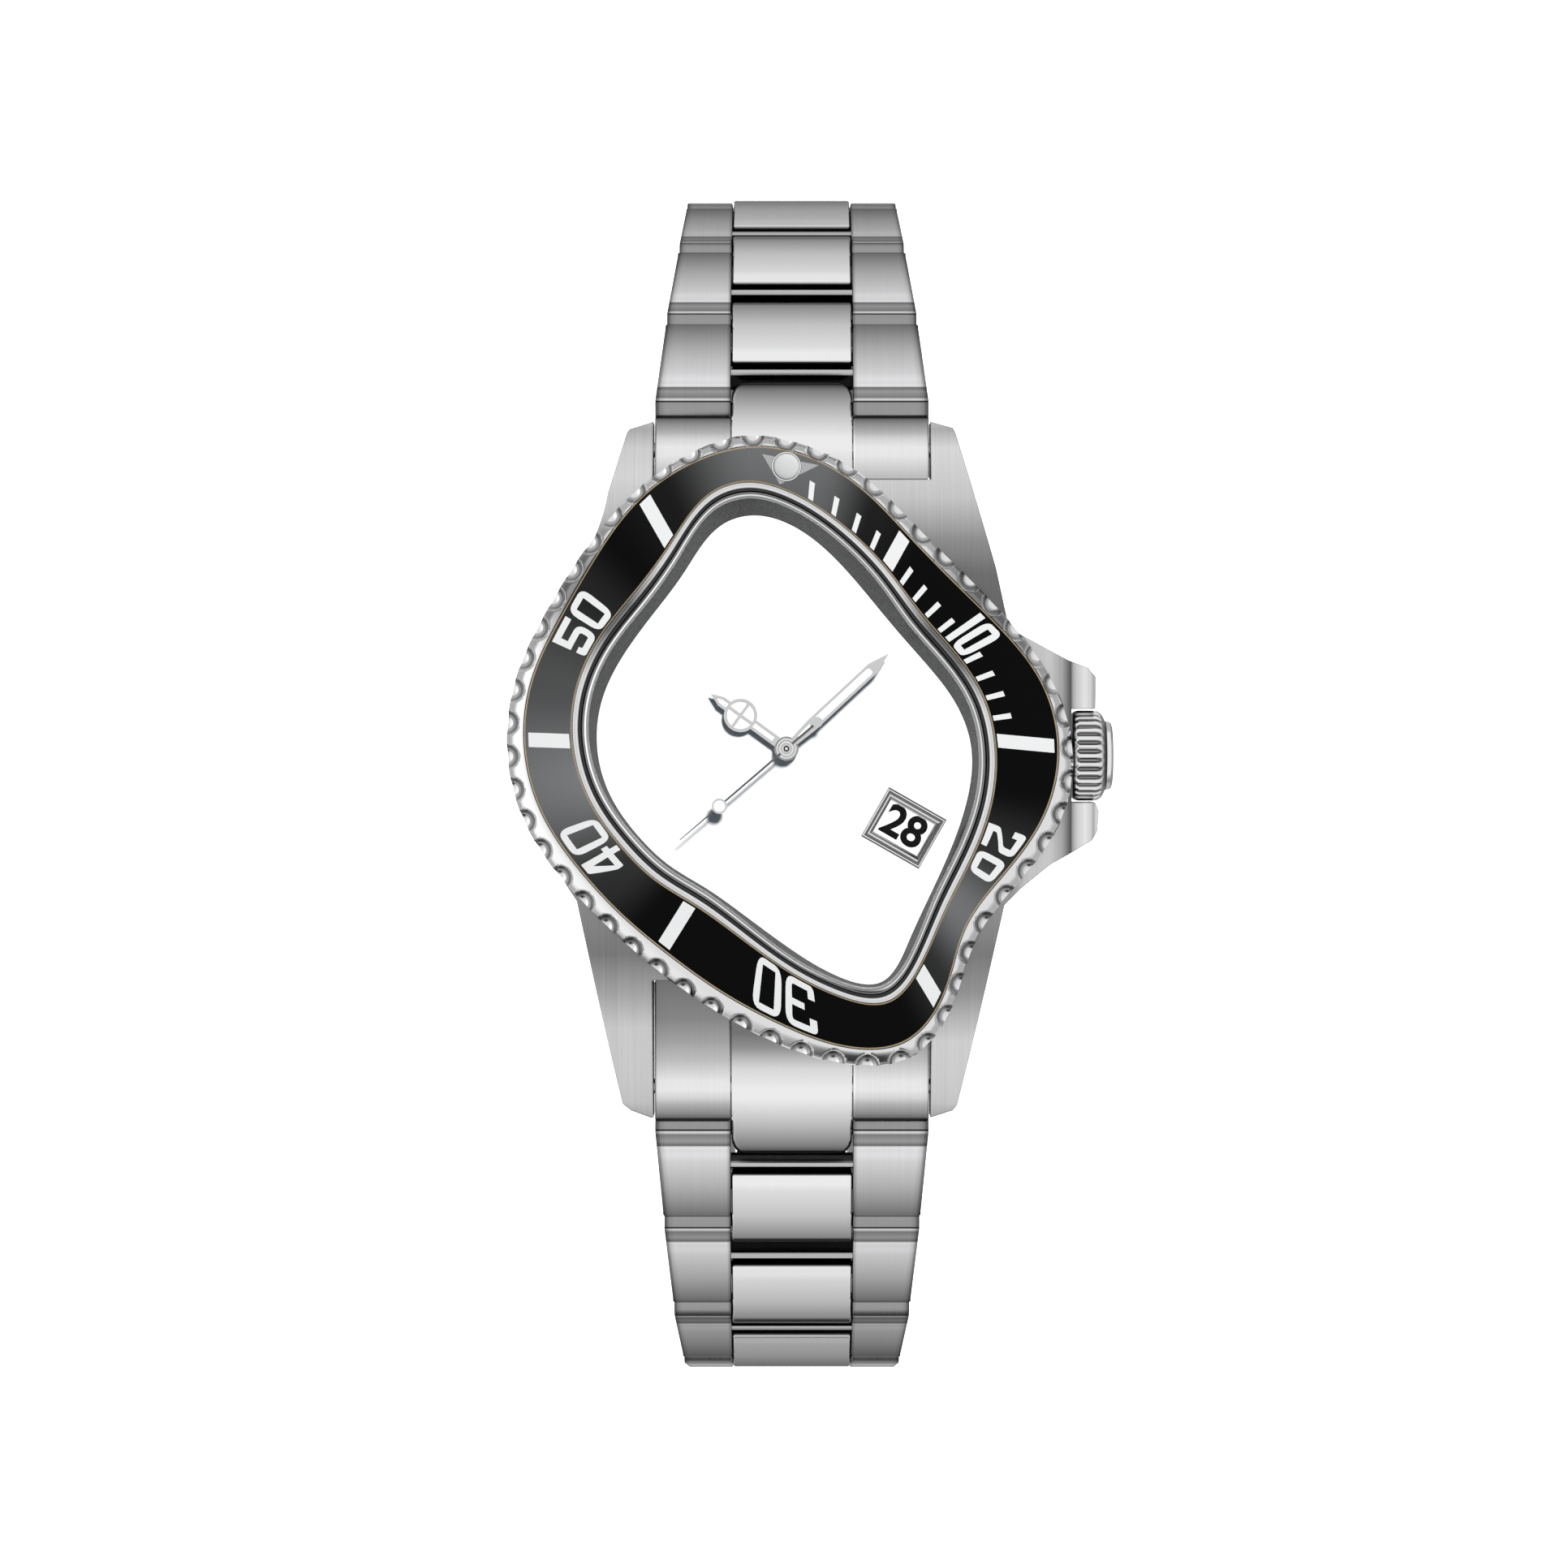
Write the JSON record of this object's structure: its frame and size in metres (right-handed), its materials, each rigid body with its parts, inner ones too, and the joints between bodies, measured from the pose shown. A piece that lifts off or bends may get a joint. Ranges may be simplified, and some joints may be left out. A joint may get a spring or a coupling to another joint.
{
  "type": "dive watch",
  "caption": "Steel dive watch with a melted-looking warped bezel, bare white dial, three hands, date opening and closed three-link bracelet.",
  "frame": {"origin": "on the axis of the hands, on the outer flat face of the case back", "axes": "+Z along the dial's normal towards the wearer's eye, +Y towards 12 o'clock along the bracelet, +X towards the crown at 3 o'clock"},
  "size_m": [0.0434, 0.0886, 0.0441],
  "materials": {
    "case_steel": "brushed tops, polished edges",
    "bezel_steel": "polished",
    "insert_black": "polished",
    "pearl": "gloss",
    "crystal": "clear",
    "gasket": "matte",
    "rehaut_grey": "satin",
    "dial_white": "satin lacquer",
    "date_white": "satin",
    "hand_steel": "polished with pale lume",
    "movement_steel": "satin",
    "movement_brass": "satin",
    "plate_nickel": "grained",
    "holder_plastic": "matte",
    "bracelet_steel": "brushed along the length",
    "clasp_steel": "brushed along the length"
  },
  "bodies": {
    "case": {"mid_case": "case_steel", "case_back": "case_steel", "case_back_gasket": "gasket", "bezel_ring": "bezel_steel", "bezel_insert": "insert_black", "lume_pearl": "pearl", "crystal": "crystal", "crystal_gasket": "gasket", "rehaut_ring": "rehaut_grey", "dial": "dial_white", "date_frame": "hand_steel", "main_plate": "plate_nickel", "train_bridge": "plate_nickel", "balance_cock": "plate_nickel", "movement_screws": "movement_steel", "movement_holder": "holder_plastic", "hairspring": "movement_steel", "crown_tube": "case_steel", "spring_bars": "movement_steel", "end_link_12": "bracelet_steel", "end_link_6": "bracelet_steel"},
    "date": {"date_ring": "date_white"},
    "hour": {"hour_hand": "hand_steel", "hour_wheel": "movement_brass"},
    "minute": {"minute_hand": "hand_steel", "centre_wheel": "movement_brass"},
    "seconds": {"seconds_hand": "hand_steel", "fourth_wheel": "movement_brass"},
    "third": {"third_wheel": "movement_brass"},
    "motion_work": {"minute_wheel": "movement_brass"},
    "escape": {"escape_wheel": "movement_steel"},
    "fork": {"pallet_fork": "movement_steel"},
    "balance": {"balance_wheel": "movement_brass"},
    "spring_barrel": {"barrel": "movement_brass"},
    "winding_rotor": {"rotor": "movement_steel"},
    "crown_slide": {"crown_gasket": "gasket"},
    "crown_knob": {"crown": "case_steel", "winding_stem": "movement_steel"},
    "row_12_1_body": {"row_12_1": "bracelet_steel"},
    "row_12_2_body": {"row_12_2": "bracelet_steel"},
    "row_12_3_body": {"row_12_3": "bracelet_steel"},
    "row_12_4_body": {"row_12_4": "bracelet_steel"},
    "row_12_5_body": {"row_12_5": "bracelet_steel"},
    "row_12_6_body": {"row_12_6": "bracelet_steel"},
    "row_12_7_body": {"row_12_7": "bracelet_steel"},
    "row_12_8_body": {"row_12_8": "bracelet_steel"},
    "row_6_1_body": {"row_6_1": "bracelet_steel"},
    "row_6_2_body": {"row_6_2": "bracelet_steel"},
    "row_6_3_body": {"row_6_3": "bracelet_steel"},
    "row_6_4_body": {"row_6_4": "bracelet_steel"},
    "row_6_5_body": {"row_6_5": "bracelet_steel"},
    "row_6_6_body": {"row_6_6": "bracelet_steel"},
    "row_6_7_body": {"row_6_7": "bracelet_steel"},
    "row_6_8_body": {"row_6_8": "bracelet_steel"},
    "clasp_inner_blade": {"clasp_blade_inner": "clasp_steel"},
    "clasp_outer_blade": {"clasp_blade_outer": "clasp_steel"},
    "clasp_lid": {"clasp_cover": "clasp_steel"}
  },
  "joints": [
    {"name": "seconds_turn", "type": "hinge", "parent": "case", "child": "seconds", "pos_m": [0, 0, 0.0079], "axis": [0, 0, -1], "continuous": true},
    {"name": "minute_turn", "type": "hinge", "parent": "case", "child": "minute", "pos_m": [0, 0, 0.0076], "axis": [0, 0, -1], "continuous": true},
    {"name": "hour_turn", "type": "hinge", "parent": "case", "child": "hour", "pos_m": [0, 0, 0.0072], "axis": [0, 0, -1], "continuous": true},
    {"name": "motion_work_turn", "type": "hinge", "parent": "case", "child": "motion_work", "pos_m": [0.0012, 0.00208, 0.0058], "axis": [0, 0, -1], "continuous": true},
    {"name": "third_turn", "type": "hinge", "parent": "case", "child": "third", "pos_m": [-0.00094, 0.00532, 0.0041], "axis": [0, 0, -1], "continuous": true},
    {"name": "escape_turn", "type": "hinge", "parent": "case", "child": "escape", "pos_m": [0.00506, -0.00184, 0.0043], "axis": [0, 0, -1], "continuous": true},
    {"name": "barrel_turn", "type": "hinge", "parent": "case", "child": "spring_barrel", "pos_m": [-0.00733, -0.00267, 0.0047], "axis": [0, 0, -1], "continuous": true},
    {"name": "fork_swing", "type": "hinge", "parent": "case", "child": "fork", "pos_m": [0.00367, -0.00472, 0.0043], "axis": [0, 0, -1], "range_deg": [-6, 6]},
    {"name": "balance_swing", "type": "hinge", "parent": "case", "child": "balance", "pos_m": [0.00212, -0.00792, 0.0035], "axis": [0, 0, -1], "range_deg": [-135, 135]},
    {"name": "rotor_turn", "type": "hinge", "parent": "case", "child": "winding_rotor", "pos_m": [0, 0, 0.0019], "axis": [0, 0, -1], "continuous": true},
    {"name": "date_turn", "type": "hinge", "parent": "case", "child": "date", "pos_m": [0, 0, 0.0059], "axis": [0, 0, -1], "continuous": true},
    {"name": "crown_pull", "type": "slide", "parent": "case", "child": "crown_slide", "axis": [1, 0, 0], "range_m": [0, 0.0016]},
    {"name": "crown_turn", "type": "hinge", "parent": "crown_slide", "child": "crown_knob", "pos_m": [0.0215, -0.00052, 0.0042], "axis": [1, 0, 0], "continuous": true},
    {"name": "row_12_1_bend", "type": "hinge", "parent": "case", "child": "row_12_1_body", "pos_m": [0.0004, 0.0246, 0.0022], "axis": [1, 0, 0], "range_deg": [0, 29]},
    {"name": "row_12_2_bend", "type": "hinge", "parent": "row_12_1_body", "child": "row_12_2_body", "pos_m": [0.0004, 0.03085, -0.00072], "axis": [1, 0, 0], "range_deg": [0, 19]},
    {"name": "row_12_3_bend", "type": "hinge", "parent": "row_12_2_body", "child": "row_12_3_body", "pos_m": [0.0004, 0.03614, -0.00515], "axis": [1, 0, 0], "range_deg": [0, 24]},
    {"name": "row_12_4_bend", "type": "hinge", "parent": "row_12_3_body", "child": "row_12_4_body", "pos_m": [0.0004, 0.03959, -0.01113], "axis": [1, 0, 0], "range_deg": [0, 31]},
    {"name": "row_12_5_bend", "type": "hinge", "parent": "row_12_4_body", "child": "row_12_5_body", "pos_m": [0.0004, 0.03995, -0.01802], "axis": [1, 0, 0], "range_deg": [0, 31]},
    {"name": "row_12_6_bend", "type": "hinge", "parent": "row_12_5_body", "child": "row_12_6_body", "pos_m": [0.0004, 0.03714, -0.02432], "axis": [1, 0, 0], "range_deg": [0, 30]},
    {"name": "row_12_7_bend", "type": "hinge", "parent": "row_12_6_body", "child": "row_12_7_body", "pos_m": [0.0004, 0.03186, -0.02876], "axis": [1, 0, 0], "range_deg": [0, 26]},
    {"name": "row_12_8_bend", "type": "hinge", "parent": "row_12_7_body", "child": "row_12_8_body", "pos_m": [0.0004, 0.0253, -0.03089], "axis": [1, 0, 0], "range_deg": [0, 21.54]},
    {"name": "row_6_1_bend", "type": "hinge", "parent": "case", "child": "row_6_1_body", "pos_m": [0.0004, -0.0275, 0.0022], "axis": [-1, 0, 0], "range_deg": [0, 14]},
    {"name": "row_6_2_bend", "type": "hinge", "parent": "row_6_1_body", "child": "row_6_2_body", "pos_m": [0.0004, -0.0343, 0.001], "axis": [-1, 0, 0], "range_deg": [0, 20]},
    {"name": "row_6_3_bend", "type": "hinge", "parent": "row_6_2_body", "child": "row_6_3_body", "pos_m": [0.0004, -0.0405, -0.00202], "axis": [-1, 0, 0], "range_deg": [0, 32]},
    {"name": "row_6_4_bend", "type": "hinge", "parent": "row_6_3_body", "child": "row_6_4_body", "pos_m": [0.0004, -0.04455, -0.00761], "axis": [-1, 0, 0], "range_deg": [0, 30]},
    {"name": "row_6_5_bend", "type": "hinge", "parent": "row_6_4_body", "child": "row_6_5_body", "pos_m": [0.0004, -0.04575, -0.0144], "axis": [-1, 0, 0], "range_deg": [0, 28]},
    {"name": "row_6_6_bend", "type": "hinge", "parent": "row_6_5_body", "child": "row_6_6_body", "pos_m": [0.0004, -0.04408, -0.0211], "axis": [-1, 0, 0], "range_deg": [0, 28]},
    {"name": "row_6_7_bend", "type": "hinge", "parent": "row_6_6_body", "child": "row_6_7_body", "pos_m": [0.0004, -0.03983, -0.02653], "axis": [-1, 0, 0], "range_deg": [0, 26]},
    {"name": "row_6_8_bend", "type": "hinge", "parent": "row_6_7_body", "child": "row_6_8_body", "pos_m": [0.0004, -0.03386, -0.02998], "axis": [-1, 0, 0], "range_deg": [0, 26]},
    {"name": "clasp_inner_swing", "type": "hinge", "parent": "row_6_8_body", "child": "clasp_inner_blade", "pos_m": [0.0004, -0.02702, -0.03094], "axis": [-1, 0, 0], "range_deg": [0, 20]},
    {"name": "clasp_fold", "type": "hinge", "parent": "clasp_inner_blade", "child": "clasp_outer_blade", "pos_m": [0.0004, 0.0134, -0.03149], "axis": [1, 0, 0], "range_deg": [0, 90]},
    {"name": "clasp_cover_open", "type": "hinge", "parent": "clasp_outer_blade", "child": "clasp_lid", "pos_m": [0.0004, -0.02282, -0.03224], "axis": [-1, 0, 0], "range_deg": [0, 100]}
  ],
  "couplings": [
    {"joint": "minute_turn", "follows": "seconds_turn", "ratio": 0.016667},
    {"joint": "hour_turn", "follows": "seconds_turn", "ratio": 0.0013889},
    {"joint": "motion_work_turn", "follows": "seconds_turn", "ratio": -0.0055556},
    {"joint": "third_turn", "follows": "seconds_turn", "ratio": -0.13333},
    {"joint": "escape_turn", "follows": "seconds_turn", "ratio": -10},
    {"joint": "barrel_turn", "follows": "seconds_turn", "ratio": -0.026667}
  ]
}
